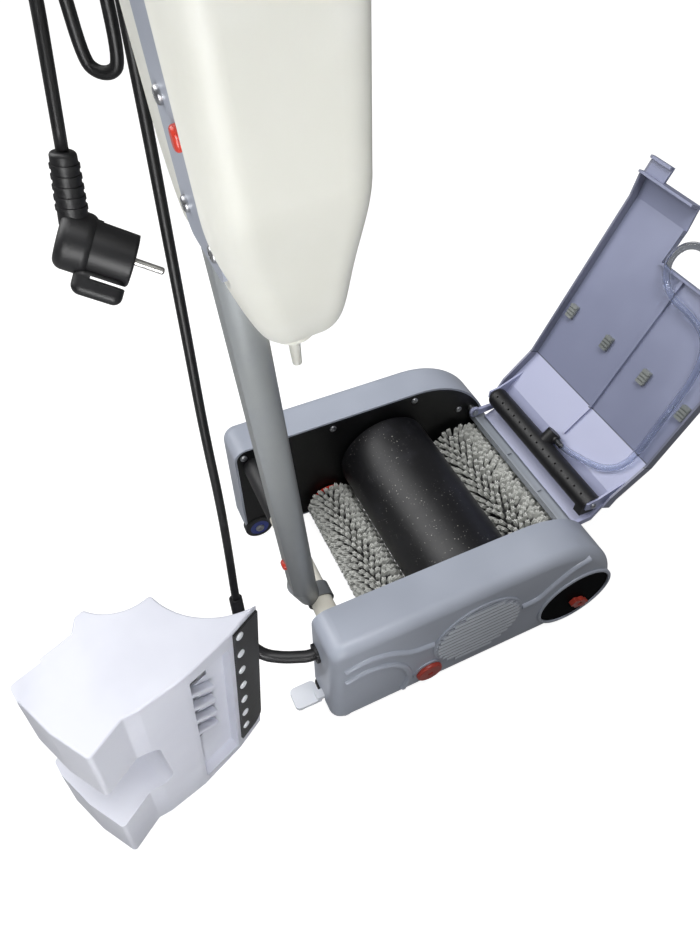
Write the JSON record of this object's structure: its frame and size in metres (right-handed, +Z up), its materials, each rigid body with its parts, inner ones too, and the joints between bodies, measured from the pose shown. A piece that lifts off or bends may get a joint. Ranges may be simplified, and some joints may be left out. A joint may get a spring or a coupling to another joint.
{
  "type": "twin brush floor scrubber",
  "caption": "Upright twin-brush floor cleaning machine with a pick-up drum, hinged lid with spray bar, tilting handle, solution tank, removable recovery tank and coiled mains cord.",
  "frame": {"origin": "on the floor, 95 mm ahead of the rear brush's axis and midway between the side plates", "axes": "+X forward to the lid's hinge, +Y to the machine's left, +Z up"},
  "size_m": [0.759, 0.3398, 1.1764],
  "materials": {
    "housing_grey": "smooth moulded grey plastic",
    "plate_black": "satin black coated sheet",
    "steel": "bare steel",
    "dark_plastic": "moulded black plastic",
    "cream_tube": "cream paint",
    "gear_nylon": "natural nylon",
    "motor_case": "dark paint",
    "drum_black": "satin black with fine specks",
    "bristle": "grey nylon strands",
    "tyre_rubber": "grey black rubber",
    "hub_blue": "blue plastic",
    "lid_grey": "pale lilac grey plastic",
    "spray_pipe": "black plastic pipe",
    "hose_clear": "clear tubing",
    "pole_grey": "grey coated aluminium",
    "bracket_grey": "grey coated sheet",
    "button_red": "red plastic",
    "tank_white": "milky translucent plastic",
    "grip_black": "soft black grip",
    "cord_black": "black cable sheath",
    "plug_brass": "plated pins",
    "strip_black": "black rubber strip"
  },
  "bodies": {
    "chassis": {"left_housing": "housing_grey", "right_housing": "housing_grey", "right_side_plate": "plate_black", "left_side_plate": "plate_black", "plate_screws": "steel", "shaft_bushes": "dark_plastic", "cross_tube": "cream_tube", "tube_sockets": "dark_plastic", "front_crossbar": "lid_grey", "axle_pins": "steel", "motor": "motor_case", "vent_grille": "housing_grey", "brush_access_cap": "dark_plastic", "cord_gland": "dark_plastic", "cord_riser": "cord_black"},
    "front_brush": {"front_brush": "bristle", "front_brush_shaft": "steel", "front_brush_gear": "gear_nylon"},
    "rear_brush": {"rear_brush": "bristle", "rear_brush_shaft": "steel", "rear_brush_gear": "gear_nylon", "rear_brush_disc": "button_red"},
    "drum": {"drum_shell": "drum_black", "drum_ends": "steel", "drum_gear": "gear_nylon"},
    "front_idler": {"front_idler": "gear_nylon"},
    "rear_idler_a": {"rear_idler_a": "gear_nylon"},
    "rear_idler_b": {"rear_idler_b": "gear_nylon"},
    "motor_pinion": {"motor_pinion": "gear_nylon"},
    "right_wheel": {"right_tyre": "tyre_rubber", "right_hub": "hub_blue"},
    "left_wheel": {"left_tyre": "tyre_rubber", "left_hub": "hub_blue"},
    "front_knob": {"front_knob": "button_red"},
    "rear_knob": {"rear_knob": "button_red"},
    "pedal": {"pedal": "lid_grey"},
    "lid": {"lid_shell": "lid_grey", "spray_bar": "spray_pipe", "spray_fitting": "dark_plastic", "lid_clips": "lid_grey", "lid_screws": "steel", "hose": "hose_clear"},
    "handle": {"pole": "pole_grey", "pole_foot": "bracket_grey", "bracket_plate": "bracket_grey", "bracket_screws": "steel", "grip": "grip_black", "cord_hook": "dark_plastic", "cord_coil": "cord_black", "cord_tail": "cord_black", "plug_body": "dark_plastic", "plug_pins": "plug_brass"},
    "pole_button": {"pole_button": "button_red"},
    "tank_button": {"tank_button": "button_red"},
    "solution_tank": {"solution_tank": "tank_white", "outlet_spout": "tank_white"},
    "filler_cap": {"filler_cap": "dark_plastic"},
    "recovery_tank": {"recovery_tank": "tank_white", "scraper_strip": "strip_black", "strip_pegs": "tank_white"}
  },
  "joints": [
    {"name": "front_brush_spin", "type": "hinge", "parent": "chassis", "child": "front_brush", "pos_m": [0.086, 0, 0.046], "axis": [0, 1, 0], "continuous": true},
    {"name": "rear_brush_spin", "type": "hinge", "parent": "chassis", "child": "rear_brush", "pos_m": [-0.095, 0, 0.032], "axis": [0, 1, 0], "continuous": true},
    {"name": "drum_spin", "type": "hinge", "parent": "chassis", "child": "drum", "pos_m": [-0.019, 0, 0.085], "axis": [0, 1, 0], "continuous": true},
    {"name": "front_idler_spin", "type": "hinge", "parent": "chassis", "child": "front_idler", "pos_m": [0.05863, 0, 0.09255], "axis": [0, 1, 0], "continuous": true},
    {"name": "rear_idler_a_spin", "type": "hinge", "parent": "chassis", "child": "rear_idler_a", "pos_m": [-0.07021, 0, 0.07598], "axis": [0, 1, 0], "continuous": true},
    {"name": "rear_idler_b_spin", "type": "hinge", "parent": "chassis", "child": "rear_idler_b", "pos_m": [-0.087, 0, 0.05883], "axis": [0, 1, 0], "continuous": true},
    {"name": "motor_spin", "type": "hinge", "parent": "chassis", "child": "motor_pinion", "pos_m": [-0.04883, 0, 0.1276], "axis": [0, 1, 0], "continuous": true},
    {"name": "right_wheel_spin", "type": "hinge", "parent": "chassis", "child": "right_wheel", "pos_m": [-0.19, 0, 0.018], "axis": [0, 1, 0], "continuous": true},
    {"name": "left_wheel_spin", "type": "hinge", "parent": "chassis", "child": "left_wheel", "pos_m": [-0.19, 0, 0.018], "axis": [0, 1, 0], "continuous": true},
    {"name": "lid_hinge", "type": "hinge", "parent": "chassis", "child": "lid", "pos_m": [0.109, 0, 0.108], "axis": [0, -1, 0], "range_deg": [0, 112]},
    {"name": "handle_tilt", "type": "hinge", "parent": "chassis", "child": "handle", "pos_m": [-0.186, -0.076, 0.137], "axis": [0, -1, 0], "range_deg": [0, 32], "deforming": ["cord_riser"]},
    {"name": "front_knob_turn", "type": "hinge", "parent": "chassis", "child": "front_knob", "pos_m": [0.096, -0.158, 0.047], "axis": [0, 1, 0], "range_deg": [0, 90]},
    {"name": "rear_knob_turn", "type": "hinge", "parent": "chassis", "child": "rear_knob", "pos_m": [-0.097, -0.158, 0.044], "axis": [0, 1, 0], "range_deg": [0, 90]},
    {"name": "pedal_press", "type": "hinge", "parent": "chassis", "child": "pedal", "pos_m": [-0.17, -0.1295, 0.034], "axis": [0, -1, 0], "range_deg": [0, 8], "stiffness_Nm_per_rad": 1},
    {"name": "pole_button_press", "type": "slide", "parent": "handle", "child": "pole_button", "axis": [0.9973, 0, 0.0732], "range_m": [0, 0.003], "stiffness_N_per_m": 400},
    {"name": "tank_button_press", "type": "slide", "parent": "handle", "child": "tank_button", "axis": [0.9973, 0, 0.0732], "range_m": [0, 0.003], "stiffness_N_per_m": 400},
    {"name": "solution_tank_lift", "type": "slide", "parent": "handle", "child": "solution_tank", "axis": [-0.0732, 0, 0.9973], "range_m": [0, 0.04]},
    {"name": "filler_cap_lift", "type": "slide", "parent": "solution_tank", "child": "filler_cap", "axis": [-0.0732, 0, 0.9973], "range_m": [0, 0.05]},
    {"name": "recovery_tank_lift", "type": "slide", "parent": "chassis", "child": "recovery_tank", "axis": [0, 0, 1], "range_m": [0, 0.045]}
  ],
  "couplings": [
    {"joint": "front_idler_spin", "follows": "front_brush_spin", "ratio": -0.42105},
    {"joint": "drum_spin", "follows": "front_brush_spin", "ratio": 0.4},
    {"joint": "rear_idler_a_spin", "follows": "front_brush_spin", "ratio": -1.3333},
    {"joint": "rear_idler_b_spin", "follows": "front_brush_spin", "ratio": 1.3333},
    {"joint": "rear_brush_spin", "follows": "front_brush_spin", "ratio": -1},
    {"joint": "motor_spin", "follows": "front_brush_spin", "ratio": -1.3333}
  ]
}
